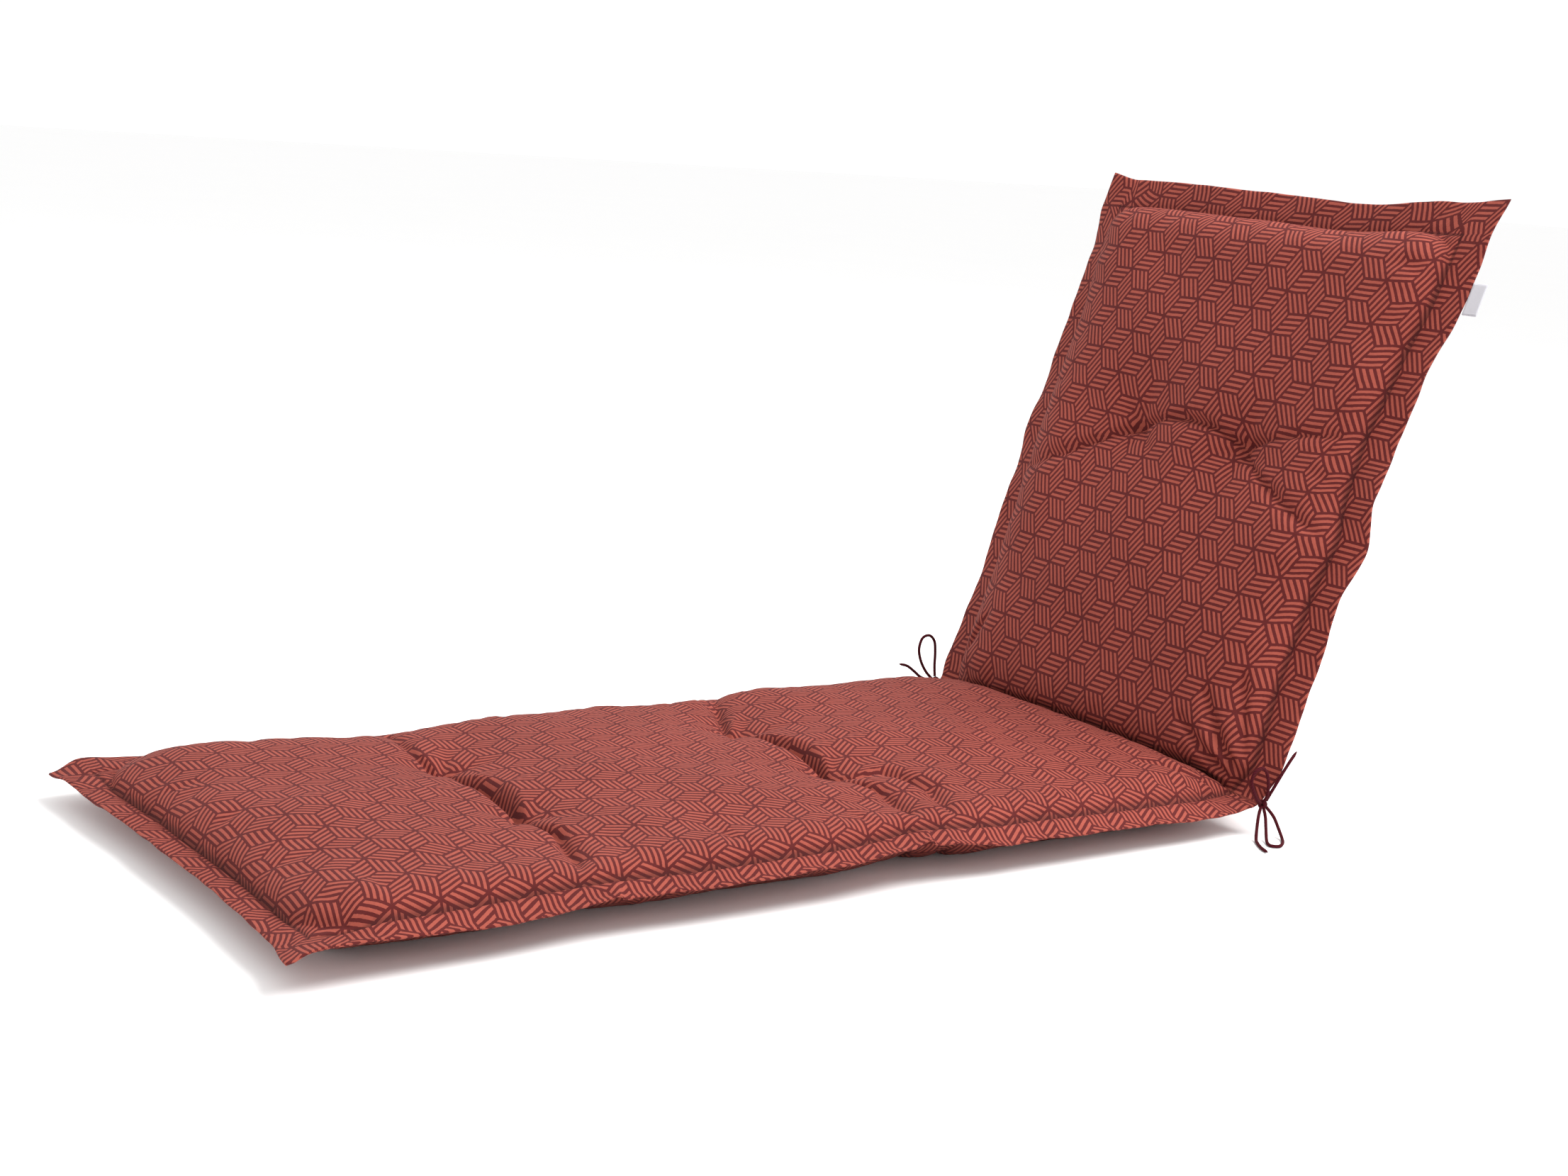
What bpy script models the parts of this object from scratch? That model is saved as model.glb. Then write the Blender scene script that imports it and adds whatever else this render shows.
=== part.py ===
"""Sun lounger cushion: one printed cloth cover with its filling, two bow ties at the hinge and a side tag.

Metres, +Z up. The seat part lies on the floor along X, foot end at -X. The back part rises at the head end.
The cloth is laid out flat first, with s measured along its length from the foot edge and y across it, and is
then bent through the hinge. Run it with blender --background --python part.py or from the text editor.
"""

import math

import bmesh
import bpy
from mathutils import Matrix, Vector

# Driving dimensions
SEAT_LENGTH = 1.138
BACK_LENGTH = 0.714
BACK_ANGLE = math.radians(68.4)
HINGE_RADIUS = 0.020
FOOT_X = -0.6995
CENTRE_Y = -0.005
BORDER_HEIGHT = 0.030
BORDER_WIDTH = 0.040
BORDER_THICKNESS = 0.004
FRONT_RISE = 0.040
REAR_RISE = 0.034
FLOOR_Z = 0.0
GAP = 0.0003

# The cut edges: s along the cloth, y of the near and far edge, and how far each edge lifts off the flat
EDGES = (
    # s, near y, far y, near lift, far lift
    (0.000, -0.304, 0.302, 0.000, 0.004),
    (0.040, -0.298, 0.296, 0.008, 0.003),
    (0.110, -0.294, 0.294, 0.006, 0.006),
    (0.200, -0.293, 0.292, 0.003, 0.004),
    (0.325, -0.286, 0.285, 0.006, 0.003),
    (0.450, -0.292, 0.291, 0.007, 0.006),
    (0.560, -0.293, 0.292, 0.008, 0.004),
    (0.680, -0.286, 0.285, 0.013, 0.007),
    (0.790, -0.293, 0.291, 0.003, 0.005),
    (0.920, -0.294, 0.293, 0.002, 0.002),
    (1.060, -0.294, 0.290, -0.003, 0.001),
    (1.138, -0.287, 0.280, 0.000, 0.000),
    (1.180, -0.300, 0.286, 0.002, -0.002),
    (1.290, -0.291, 0.289, -0.004, -0.006),
    (1.375, -0.290, 0.295, 0.003, -0.003),
    (1.435, -0.296, 0.303, -0.003, -0.008),
    (1.500, -0.284, 0.309, 0.002, -0.004),
    (1.560, -0.281, 0.311, -0.004, -0.009),
    (1.640, -0.288, 0.312, 0.002, -0.005),
    (1.740, -0.300, 0.322, -0.002, -0.010),
    (1.810, -0.302, 0.330, 0.002, -0.006),
    (1.852, -0.311, 0.318, 0.004, 0.006),
)

# The foot and head edges draw in between their corners: y, and the shift along the cloth
FOOT_DRAW = ((-0.305, 0.000), (-0.24, 0.011), (-0.10, 0.014), (0.07, 0.009), (0.21, 0.000), (0.305, -0.006))
HEAD_DRAW = ((-0.312, 0.004), (-0.24, -0.003), (-0.10, -0.015), (0.03, -0.011), (0.20, -0.008), (0.33, 0.002))
END_FADE = 0.16

# Rows of tufts: s, near y, far y, how much of the rise the row takes, its depth and the bow of its crease
TUFT_ROWS = (
    # s, near y, far y, row dip, tuft depth, bow
    (0.330, -0.090, 0.086, 0.16, 0.022, 0.010),
    (0.704, -0.078, 0.096, 0.14, 0.024, 0.012),
    (1.520, -0.087, 0.087, 0.12, 0.026, 0.020),
)
TUFT_RADIUS = 0.034
ROW_REACH = 0.075
REAR_TUFT_SHARE = 0.55

# Creases pulled from the tufts: points on the cloth, then depth and half width
CREASES = (
    ((0.325, 0.086), (0.322, 0.130), (0.333, 0.215), 0.010, 0.014),
    ((0.322, -0.090), (0.333, -0.155), (0.316, -0.210), (0.296, -0.250), 0.011, 0.013),
    ((0.690, 0.096), (0.728, 0.175), (0.762, 0.240), 0.014, 0.015),
    ((0.690, -0.078), (0.708, -0.160), (0.692, -0.225), 0.010, 0.013),
    ((0.700, -0.078), (0.750, -0.110), (0.756, -0.181), (0.730, -0.245), 0.012, 0.013),
    ((1.512, -0.087), (1.488, -0.135), (1.450, -0.215), (1.440, -0.245), 0.009, 0.012),
    ((1.525, -0.087), (1.550, -0.185), (1.556, -0.245), 0.006, 0.013),
    ((1.523, 0.087), (1.498, 0.124), (1.465, 0.184), (1.441, 0.245), 0.009, 0.013),
)
ROW_CREASE_DEPTH = 0.013
ROW_CREASE_WIDTH = 0.014

# How steeply the filling stands up from each seam, as the distance that it takes to reach full height
SIDE_REACH = 0.075
FOOT_REACH = 0.090
HEAD_REACH = 0.060
SEAT_HINGE_REACH = 0.100
BACK_HINGE_REACH = 0.055
REAR_HINGE_REACH = 0.120
EDGE_POWER = 2.4
CORNER_POWER = 3.0
HINGE_RISE = 0.006
HINGE_CLEARANCE = 0.0022

# Mesh stations: cells between the lines of the cloth, and the half width of the filled part in steps
BAY_CELLS = (12, 12, 16, 5, 15, 12)
PAD_STEPS = (0.0, 0.17, 0.34, 0.50, 0.65, 0.78, 0.885, 0.96, 1.0)
EASE = 0.78

# Ties
CORD_DIAMETER = 0.0036
KNOT_RADIUS = 0.0058
KNOT_SHAPE = (1.0, 0.85, 0.9)
CORD_POINT_STEP = 0.0075
FLOOR_CLEARANCE = 0.0001

# Side tag: a tape folded in half, its fold standing off the near edge of the back
TAG_S = (1.720, 1.757)
TAG_STAND = 0.019
TAG_TAPE = 0.0007
TAG_OPENING = 0.0007

HINGE_ARC = HINGE_RADIUS * BACK_ANGLE
HINGE_SETBACK = HINGE_RADIUS * math.tan(BACK_ANGLE / 2) - HINGE_ARC / 2
FOLD_SLOPE = math.tan((math.pi - BACK_ANGLE) / 2)
CLOTH_LENGTH = SEAT_LENGTH + BACK_LENGTH


def clear_scene():
    for thing in list(bpy.data.objects):
        bpy.data.objects.remove(thing, do_unlink=True)


def smooth_step(x):
    x = min(max(x, 0.0), 1.0)
    return x * x * (3 - 2 * x)


def along_table(rows, x, column):
    """A column of a table, read at x with a smooth run between its rows."""
    if x <= rows[0][0]:
        return rows[0][column]
    for low, high in zip(rows, rows[1:]):
        if x <= high[0]:
            share = smooth_step((x - low[0]) / (high[0] - low[0]))
            return low[column] + (high[column] - low[column]) * share
    return rows[-1][column]


def stand_up(*edges):
    """How far the filling has risen, 0 to 1, at distances in from its seams, each with its reach."""
    closeness = sum(max(1 - max(distance, 0.0) / reach, 0.0) ** CORNER_POWER for distance, reach in edges)
    return math.sqrt(max(1 - closeness ** (EDGE_POWER / CORNER_POWER), 0.0))


def trough(distance, half_width):
    return math.exp(-((distance / half_width) ** 2))


def distance_to_run(point, run):
    """Distance from a point of the cloth to a run of points, and how far along the run it is, 0 to 1."""
    best, place = 1e9, 0.0
    legs = list(zip(run, run[1:]))
    for index, (a, b) in enumerate(legs):
        along = Vector(b) - Vector(a)
        share = (Vector(point) - Vector(a)).dot(along) / along.length_squared
        share = min(max(share, 0.0), 1.0)
        distance = (Vector(point) - Vector(a) - along * share).length
        if distance < best:
            best, place = distance, (index + share) / len(legs)
    return best, place


def seam_y(s, side):
    """The seam between border and filling: side -1 is near, 1 is far."""
    edge = along_table(EDGES, s, 1 if side < 0 else 2)
    return edge - side * BORDER_WIDTH


def tuft_pull(s, y):
    """How far the tufts, the creases between them and the creases to the sides pull the front cloth in."""
    pull = 0.0
    for row_s, near, far, _, depth, bow in TUFT_ROWS:
        if abs(s - row_s) > 4 * TUFT_RADIUS:
            continue
        for tuft in (near, far):
            pull = max(pull, depth * math.exp(-math.hypot(s - row_s, y - tuft) / TUFT_RADIUS))
        across = (y - near) / (far - near)
        if -0.1 < across < 1.1:
            crease_s = row_s + bow * 4 * across * (1 - across)
            pull = max(pull, ROW_CREASE_DEPTH * trough(s - crease_s, ROW_CREASE_WIDTH))
    for *run, depth, half_width in CREASES:
        if abs(s - run[0][0]) > 0.15:
            continue
        distance, place = distance_to_run((s, y), run)
        pull = max(pull, depth * (1 - 0.55 * place) * trough(distance, half_width))
    return pull


def bay_height(s):
    """The share of the full rise that the rows of tufts leave along the cloth."""
    share = 1.0
    for row_s, _, _, dip, _, _ in TUFT_ROWS:
        share -= dip * trough(s - row_s, ROW_REACH)
    return share


def end_distances(s):
    """Distances in from the foot seam or head seam, and from the stitched hinge line."""
    if s < SEAT_LENGTH:
        return s - BORDER_WIDTH, SEAT_LENGTH - s
    return CLOTH_LENGTH - BORDER_WIDTH - s, s - SEAT_LENGTH


def front_height(s, y):
    """Height of the front cloth off the middle of the border."""
    half = (seam_y(s, 1) - seam_y(s, -1)) / 2
    middle = (seam_y(s, 1) + seam_y(s, -1)) / 2
    inward = half - abs(y - middle)
    end, hinge = end_distances(s)
    on_seat = s < SEAT_LENGTH
    base = BORDER_THICKNESS / 2
    if inward <= 0 or end <= 0:
        return base
    crown = 0.86 + 0.14 * math.cos(math.pi / 2 * min(abs(y - middle) / half, 1.0))
    side = stand_up((inward, SIDE_REACH))
    end_reach, hinge_reach = (FOOT_REACH, SEAT_HINGE_REACH) if on_seat else (HEAD_REACH, BACK_HINGE_REACH)
    rise = stand_up((inward, SIDE_REACH), (end, end_reach)) * stand_up((hinge, hinge_reach))
    height = base + FRONT_RISE * bay_height(s) * crown * rise
    height -= tuft_pull(s, y) * side
    height = max(height, base + HINGE_RISE * side * stand_up((end, end_reach)))
    return min(height, FOLD_SLOPE * (hinge + HINGE_SETBACK) - HINGE_CLEARANCE)


def rear_height(s, y):
    """Depth of the rear cloth off the middle of the border, a positive number."""
    half = (seam_y(s, 1) - seam_y(s, -1)) / 2
    middle = (seam_y(s, 1) + seam_y(s, -1)) / 2
    inward = half - abs(y - middle)
    end, hinge = end_distances(s)
    base = BORDER_THICKNESS / 2
    if inward <= 0 or end <= 0:
        return base
    side = stand_up((inward, SIDE_REACH))
    rise = stand_up((inward, SIDE_REACH), (end, FOOT_REACH)) * stand_up((hinge, REAR_HINGE_REACH))
    height = base + REAR_RISE * rise - REAR_TUFT_SHARE * tuft_pull(s, y) * side
    return max(height, base + HINGE_RISE * side * stand_up((end, FOOT_REACH)))


def border_lift(s, y):
    """How far the middle of the border lies off the flat at a point of the cloth."""
    near, far = along_table(EDGES, s, 1), along_table(EDGES, s, 2)
    near_lift, far_lift = along_table(EDGES, s, 3), along_table(EDGES, s, 4)
    lift = 0.0
    if y < near + BORDER_WIDTH:
        lift = near_lift * (near + BORDER_WIDTH - y) / BORDER_WIDTH
    if y > far - BORDER_WIDTH:
        lift = far_lift * (y - far + BORDER_WIDTH) / BORDER_WIDTH
    return lift


def drawn_in(s, y):
    """s moved by the draw of the foot and head edges."""
    foot = along_table(FOOT_DRAW, y, 1) * (1 - smooth_step(s / END_FADE))
    head = along_table(HEAD_DRAW, y, 1) * (1 - smooth_step((CLOTH_LENGTH - s) / END_FADE))
    return s + foot + head


def bent(s, y, height):
    """A point of the flat cloth, at a height off it, carried through the bend of the hinge."""
    start = SEAT_LENGTH - HINGE_ARC / 2
    if s <= start:
        return Vector((FOOT_X + s, CENTRE_Y + y, BORDER_HEIGHT + height))
    turn = min((s - start) / HINGE_RADIUS, BACK_ANGLE)
    past = max(s - start - HINGE_ARC, 0.0)
    along = Vector((math.cos(turn), 0, math.sin(turn)))
    normal = Vector((-math.sin(turn), 0, math.cos(turn)))
    centre = Vector((FOOT_X + start, CENTRE_Y + y, BORDER_HEIGHT + HINGE_RADIUS))
    return centre - normal * HINGE_RADIUS + along * past + normal * height


def eased_run(start, end, cells):
    """Stations from start to just before end, closer together at both ends."""
    steps = [i / cells for i in range(cells)]
    return [start + (end - start) * (t - EASE * math.sin(2 * math.pi * t) / (2 * math.pi)) for t in steps]


def length_stations():
    """Every s of the mesh: the foot border, six bays between seams, rows and hinge, and the head border."""
    first_row, second_row, back_row = (row[0] for row in TUFT_ROWS)
    lines = (
        BORDER_WIDTH,
        first_row,
        second_row,
        SEAT_LENGTH - HINGE_ARC / 2,
        SEAT_LENGTH + HINGE_ARC / 2,
        back_row,
        CLOTH_LENGTH - BORDER_WIDTH,
    )
    stations = [0.0, BORDER_WIDTH / 2]
    for start, end, cells in zip(lines, lines[1:], BAY_CELLS):
        stations += eased_run(start, end, cells)
    return stations + [lines[-1], CLOTH_LENGTH - BORDER_WIDTH / 2, CLOTH_LENGTH]


def cross_places(s):
    """Every y of the mesh at a station: the near border, the filled part and the far border."""
    near, far = seam_y(s, -1), seam_y(s, 1)
    middle, half = (near + far) / 2, (far - near) / 2
    steps = [-step for step in reversed(PAD_STEPS[1:])] + list(PAD_STEPS)
    places = [near - BORDER_WIDTH, near - BORDER_WIDTH / 2]
    places += [middle + half * step for step in steps]
    return places + [far + BORDER_WIDTH / 2, far + BORDER_WIDTH]


def cloth_material(name, colour, roughness):
    material = bpy.data.materials.new(name)
    material.use_nodes = True
    shader = material.node_tree.nodes["Principled BSDF"]
    shader.inputs["Base Color"].default_value = (*colour, 1.0)
    shader.inputs["Roughness"].default_value = roughness
    shader.inputs["Metallic"].default_value = 0.0
    return material


def add_object(name, data, material, collection):
    thing = bpy.data.objects.new(name, data)
    data.materials.append(material)
    collection.objects.link(thing)
    return thing


def make_cushion(collection, material):
    """The filled cover: a flat slab of mesh, its two faces moved to the front and rear cloth, then bent."""
    stations = length_stations()
    columns = len(cross_places(0.0))
    mesh = bmesh.new()
    bmesh.ops.create_grid(mesh, x_segments=len(stations) - 1, y_segments=columns - 1, size=1.0)
    bmesh.ops.solidify(mesh, geom=mesh.faces[:], thickness=1.0)
    heights = [vertex.co.z for vertex in mesh.verts]
    split = (min(heights) + max(heights)) / 2
    for vertex in mesh.verts:
        row = round((vertex.co.x + 1) / 2 * (len(stations) - 1))
        column = round((vertex.co.y + 1) / 2 * (columns - 1))
        s = stations[row]
        y = cross_places(s)[column]
        front = vertex.co.z > split
        height = border_lift(s, y) + (front_height(s, y) if front else -rear_height(s, y))
        vertex.co = bent(drawn_in(s, y), y, height)
        vertex.co.z = max(vertex.co.z, FLOOR_Z)
    bmesh.ops.recalc_face_normals(mesh, faces=mesh.faces[:])
    data = bpy.data.meshes.new("cushion")
    mesh.to_mesh(data)
    mesh.free()
    data.shade_smooth()
    return add_object("cushion", data, material, collection)


def smooth_route(points):
    """Points at even steps on a smooth curve through a cord's own points, laid on the floor where it is lower."""
    points = [Vector(p) for p in points]
    ends = [points[0] * 2 - points[1], *points, points[-1] * 2 - points[-2]]
    route = []
    for before, a, b, after in zip(ends, ends[1:], ends[2:], ends[3:]):
        steps = max(2, round((b - a).length / CORD_POINT_STEP))
        for step in range(steps):
            t = step / steps
            route.append(
                0.5 * (2 * a + (b - before) * t + (2 * before - 5 * a + 4 * b - after) * t**2
                       + (3 * a - before - 3 * b + after) * t**3)
            )
    route.append(points[-1])
    for place in route:
        place.z = max(place.z, FLOOR_Z + CORD_DIAMETER / 2 + FLOOR_CLEARANCE)
    return route


def make_cord(name, points, collection, material):
    """A length of tie cord: a tube along a smooth route."""
    data = bpy.data.curves.new(name, "CURVE")
    data.dimensions = "3D"
    data.bevel_depth = CORD_DIAMETER / 2
    data.bevel_resolution = 2
    data.use_fill_caps = True
    route = smooth_route(points)
    spline = data.splines.new("POLY")
    spline.points.add(len(route) - 1)
    for point, place in zip(spline.points, route):
        point.co = (*place, 1.0)
    return add_object(name, data, material, collection)


def make_knot(name, centre, collection, material):
    """The knot of a bow: a small flattened ball of wound cord."""
    mesh = bmesh.new()
    bmesh.ops.create_uvsphere(mesh, u_segments=10, v_segments=7, radius=KNOT_RADIUS)
    bmesh.ops.scale(mesh, vec=KNOT_SHAPE, verts=mesh.verts[:])
    bmesh.ops.translate(mesh, vec=centre, verts=mesh.verts[:])
    data = bpy.data.meshes.new(name)
    mesh.to_mesh(data)
    mesh.free()
    data.shade_smooth()
    return add_object(name, data, material, collection)


def make_side_tag(collection, material):
    """A tape folded over on itself, lying in the plane of the back, its cut ends at the cloth's edge."""
    middle_s = (TAG_S[0] + TAG_S[1]) / 2
    edge_y = min(along_table(EDGES, s, 1) for s in (*TAG_S, middle_s)) - GAP
    outer = TAG_TAPE + TAG_OPENING / 2
    inner = TAG_OPENING / 2
    fold = edge_y - TAG_STAND + outer
    turns = [math.pi / 2 + math.pi * i / 6 for i in range(7)]
    outline = [(edge_y, outer)] + [(fold + outer * math.cos(a), outer * math.sin(a)) for a in turns]
    outline += [(edge_y, -outer), (edge_y, -inner)]
    outline += [(fold + inner * math.cos(a), inner * math.sin(a)) for a in reversed(turns)]
    outline += [(edge_y, inner)]
    data = bpy.data.curves.new("side_tag", "CURVE")
    data.dimensions = "2D"
    data.fill_mode = "BOTH"
    data.extrude = (TAG_S[1] - TAG_S[0]) / 2
    spline = data.splines.new("POLY")
    spline.use_cyclic_u = True
    spline.points.add(len(outline) - 1)
    for point, (across, off) in zip(spline.points, outline):
        point.co = (across, off, 0.0, 1.0)
    tag = add_object("side_tag", data, material, collection)
    lift = along_table(EDGES, middle_s, 3)
    tag.matrix_world = tag_frame(middle_s, lift)
    return tag


def tag_frame(s, lift):
    """The tag's own axes: across the cloth, off its face, and along it."""
    origin = bent(s, 0.0, lift)
    off = bent(s, 0.0, lift + 1.0) - origin
    across = Vector((0, 1, 0))
    along = across.cross(off)
    frame = Matrix((across, off, along)).transposed().to_4x4()
    frame.translation = origin
    return frame


# Routes of the ties as steps from their knot
NEAR_TIE = {
    "near_tie_upper_loop": (
        (-0.0062, -0.002, 0.003), (-0.016, -0.006, 0.009), (-0.026, -0.009, 0.020), (-0.032, -0.010, 0.032),
        (-0.029, -0.011, 0.043), (-0.019, -0.012, 0.046), (-0.011, -0.012, 0.038), (-0.006, -0.011, 0.024),
        (-0.003, -0.008, 0.012), (-0.0015, -0.004, 0.0065),
    ),
    "near_tie_upper_end": (
        (0.0040, -0.003, 0.0062), (0.006, -0.008, 0.020), (0.012, -0.012, 0.036), (0.020, -0.014, 0.050),
        (0.028, -0.015, 0.061),
    ),
    "near_tie_lower_loop": (
        (0.0055, -0.0028, -0.0042), (0.010, -0.009, -0.013), (0.010, -0.018, -0.024), (0.004, -0.030, -0.0312),
        (-0.007, -0.041, -0.0316), (-0.019, -0.047, -0.0316), (-0.026, -0.041, -0.0316), (-0.020, -0.030, -0.0308),
        (-0.010, -0.018, -0.022), (-0.003, -0.009, -0.012), (-0.0005, -0.0045, -0.0068),
    ),
    "near_tie_lower_end": (
        (-0.0060, -0.0030, -0.0030), (-0.013, -0.008, -0.010), (-0.020, -0.014, -0.021), (-0.028, -0.022, -0.0308),
        (-0.036, -0.033, -0.0316), (-0.043, -0.045, -0.0316), (-0.047, -0.057, -0.0316),
    ),
}
FAR_TIE = {
    "far_tie_upper_loop": (
        (-0.0062, 0.0018, 0.003), (-0.014, 0.004, 0.012), (-0.022, 0.006, 0.026), (-0.026, 0.007, 0.042),
        (-0.021, 0.008, 0.056), (-0.010, 0.008, 0.059), (-0.001, 0.008, 0.051), (0.002, 0.008, 0.036),
        (0.001, 0.006, 0.020), (-0.0005, 0.0025, 0.0065),
    ),
    "far_tie_upper_end": (
        (-0.0068, 0.0035, -0.001), (-0.018, 0.009, 0.004), (-0.028, 0.011, 0.012), (-0.040, 0.011, 0.020),
        (-0.054, 0.010, 0.024),
    ),
    "far_tie_lower_loop": (
        (0.0055, 0.0028, -0.0042), (0.012, 0.007, -0.013), (0.017, 0.014, -0.022), (0.018, 0.024, -0.0298),
        (0.014, 0.035, -0.0316), (0.006, 0.038, -0.0316), (0.000, 0.030, -0.0306), (-0.001, 0.019, -0.021),
        (-0.001, 0.010, -0.012), (-0.0005, 0.0045, -0.0068),
    ),
    "far_tie_lower_end": (
        (-0.0052, 0.0045, -0.0045), (-0.010, 0.014, -0.014), (-0.012, 0.025, -0.0262), (-0.014, 0.038, -0.0314),
        (-0.013, 0.052, -0.0316), (-0.008, 0.064, -0.0316),
    ),
}


def on_knot(step):
    """A step from a knot's middle, cut or drawn out to end just off the knot's surface."""
    reach = 1 / math.sqrt(sum((part / (KNOT_RADIUS * share)) ** 2 for part, share in zip(step, KNOT_SHAPE)))
    return Vector(step) * reach + Vector(step).normalized() * GAP


def make_tie(knot_name, side, routes, collection, material):
    """A bow at one end of the hinge, its knot against the cloth's edge: side -1 is near, 1 is far."""
    edge = along_table(EDGES, SEAT_LENGTH, 1 if side < 0 else 2)
    centre = bent(SEAT_LENGTH, edge + side * (KNOT_RADIUS * KNOT_SHAPE[1] + GAP), 0.0)
    make_knot(knot_name, centre, collection, material)
    for name, steps in routes.items():
        last = on_knot(steps[-1]) if name.endswith("loop") else Vector(steps[-1])
        route = [on_knot(steps[0]), *(Vector(step) for step in steps[1:-1]), last]
        make_cord(name, [centre + step for step in route], collection, material)


def main():
    clear_scene()
    collection = bpy.data.collections.new("sun_lounger_cushion")
    bpy.context.scene.collection.children.link(collection)
    cloth = cloth_material("printed_cloth", (0.30, 0.065, 0.055), 0.85)
    cord = cloth_material("tie_cord", (0.055, 0.008, 0.012), 0.7)
    tape = cloth_material("tag_tape", (0.80, 0.79, 0.82), 0.6)
    make_cushion(collection, cloth)
    make_tie("near_tie_knot", -1, NEAR_TIE, collection, cord)
    make_tie("far_tie_knot", 1, FAR_TIE, collection, cord)
    make_side_tag(collection, tape)


main()
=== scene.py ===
"""Looks of the sun lounger cushion: printed cotton cover, two tied bows at the hinge and a blank side tag."""

import math
import random

import bpy
import numpy as np
from mathutils import Matrix, Vector


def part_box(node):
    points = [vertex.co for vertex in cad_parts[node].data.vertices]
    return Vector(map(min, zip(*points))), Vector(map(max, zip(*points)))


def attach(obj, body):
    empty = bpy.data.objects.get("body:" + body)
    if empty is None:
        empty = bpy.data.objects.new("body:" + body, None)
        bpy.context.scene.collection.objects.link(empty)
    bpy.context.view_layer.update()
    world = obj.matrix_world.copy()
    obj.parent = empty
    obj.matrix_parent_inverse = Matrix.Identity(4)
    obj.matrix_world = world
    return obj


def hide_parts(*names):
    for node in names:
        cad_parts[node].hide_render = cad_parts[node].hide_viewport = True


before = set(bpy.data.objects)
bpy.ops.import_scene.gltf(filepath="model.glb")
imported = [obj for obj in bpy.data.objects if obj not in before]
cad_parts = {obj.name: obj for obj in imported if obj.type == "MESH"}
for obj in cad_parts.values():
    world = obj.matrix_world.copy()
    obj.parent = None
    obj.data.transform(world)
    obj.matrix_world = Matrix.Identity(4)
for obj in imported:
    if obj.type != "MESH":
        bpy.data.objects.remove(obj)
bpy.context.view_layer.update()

# Camera: a pin-hole fitted to the photograph, on the near side of the foot end and a little above the cloth.
# FOOT_X, CENTRE_Y and BORDER_HEIGHT place the flat cloth of the seat, which every later section builds on.
FOOT_X = -0.6995
CENTRE_Y = -0.005
BORDER_HEIGHT = 0.030
CAMERA_PLACE = Vector((-1.3985, -1.9448, 0.7232))
CAMERA_YAW, CAMERA_PITCH, CAMERA_ROLL = (math.radians(angle) for angle in (54.536, 11.43, 4.0735))
CAMERA_LENS = 52.31
SENSOR_WIDTH = 36.0

looking = Vector((
    math.cos(CAMERA_PITCH) * math.cos(CAMERA_YAW),
    math.cos(CAMERA_PITCH) * math.sin(CAMERA_YAW),
    -math.sin(CAMERA_PITCH),
))
level_right = Vector((math.sin(CAMERA_YAW), -math.cos(CAMERA_YAW), 0))
level_up = level_right.cross(looking)
right = math.cos(CAMERA_ROLL) * level_right + math.sin(CAMERA_ROLL) * level_up
up = math.cos(CAMERA_ROLL) * level_up - math.sin(CAMERA_ROLL) * level_right
camera_data = bpy.data.cameras.new("camera")
camera_data.lens = CAMERA_LENS
camera_data.sensor_width = SENSOR_WIDTH
camera = bpy.data.objects.new("camera", camera_data)
camera_turn = Matrix((right, up, -looking)).transposed().to_4x4()
camera.matrix_world = Matrix.Translation(CAMERA_PLACE) @ camera_turn
bpy.context.scene.collection.objects.link(camera)
bpy.context.scene.camera = camera

# Ties: thin dark red cord, round and close woven, tied in a bow at each end of the hinge. Each bow has a
# small wound knot against the cloth's edge, two loops that come back to it and two cut ends. The lower loop
# and the lower end lie on the floor.
SEAT_LENGTH = 1.138
CORD_DIAMETER = 0.0036
CORD_STEP = 0.0012
CORD_SIDES = 18
CORD_PLIES = 3
CORD_LAY = 0.011
CORD_TWIST = 2 * math.pi / CORD_LAY
PLY_DEPTH = 0.05
TIP_SIZES = (0.30, 0.52, 0.70, 0.84, 0.94)
KNOT_RADIUS = 0.0058
KNOT_SHAPE = np.array((1.0, 0.85, 0.9))
GAP = 0.0003
FLOOR_CLEARANCE = 0.0001
WINDING_STEPS = 22
WINDINGS = (
    # turns, lean along the knot, tilt and spin of the run
    (2.3, 0.0062, 0.12, 0.25),
    (1.4, 0.0022, 1.25, 0.9),
)
# The cord's two colours. The dark one is partly random tone and partly painted shade for the grooves between
# the plies. The light one is partly painted light on the plies' crowns.
CORD_DARK_AND_GROOVE_SHADE = (0.020, 0.0016, 0.0035)
CORD_LIGHT_AND_LIT_CROWN = (0.080, 0.0065, 0.012)

NEAR_TIE = {
    "near_tie_upper_loop": (
        (-0.0062, -0.002, 0.003), (-0.016, -0.006, 0.009), (-0.026, -0.009, 0.020), (-0.032, -0.010, 0.032),
        (-0.029, -0.011, 0.043), (-0.019, -0.012, 0.046), (-0.011, -0.012, 0.038), (-0.006, -0.011, 0.024),
        (-0.003, -0.008, 0.012), (-0.0015, -0.004, 0.0065),
    ),
    "near_tie_upper_end": (
        (0.0040, -0.003, 0.0062), (0.006, -0.008, 0.020), (0.012, -0.012, 0.036), (0.020, -0.014, 0.050),
        (0.028, -0.015, 0.061),
    ),
    "near_tie_lower_loop": (
        (0.0055, -0.0028, -0.0042), (0.010, -0.009, -0.013), (0.010, -0.018, -0.024),
        (0.004, -0.030, -0.0312), (-0.007, -0.041, -0.0316), (-0.019, -0.047, -0.0316),
        (-0.026, -0.041, -0.0316), (-0.020, -0.030, -0.0308), (-0.010, -0.018, -0.022),
        (-0.003, -0.009, -0.012), (-0.0005, -0.0045, -0.0068),
    ),
    "near_tie_lower_end": (
        (-0.0060, -0.0030, -0.0030), (-0.013, -0.008, -0.010), (-0.020, -0.014, -0.021),
        (-0.028, -0.022, -0.0308), (-0.036, -0.033, -0.0316), (-0.043, -0.045, -0.0316),
        (-0.047, -0.057, -0.0316),
    ),
}
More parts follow.
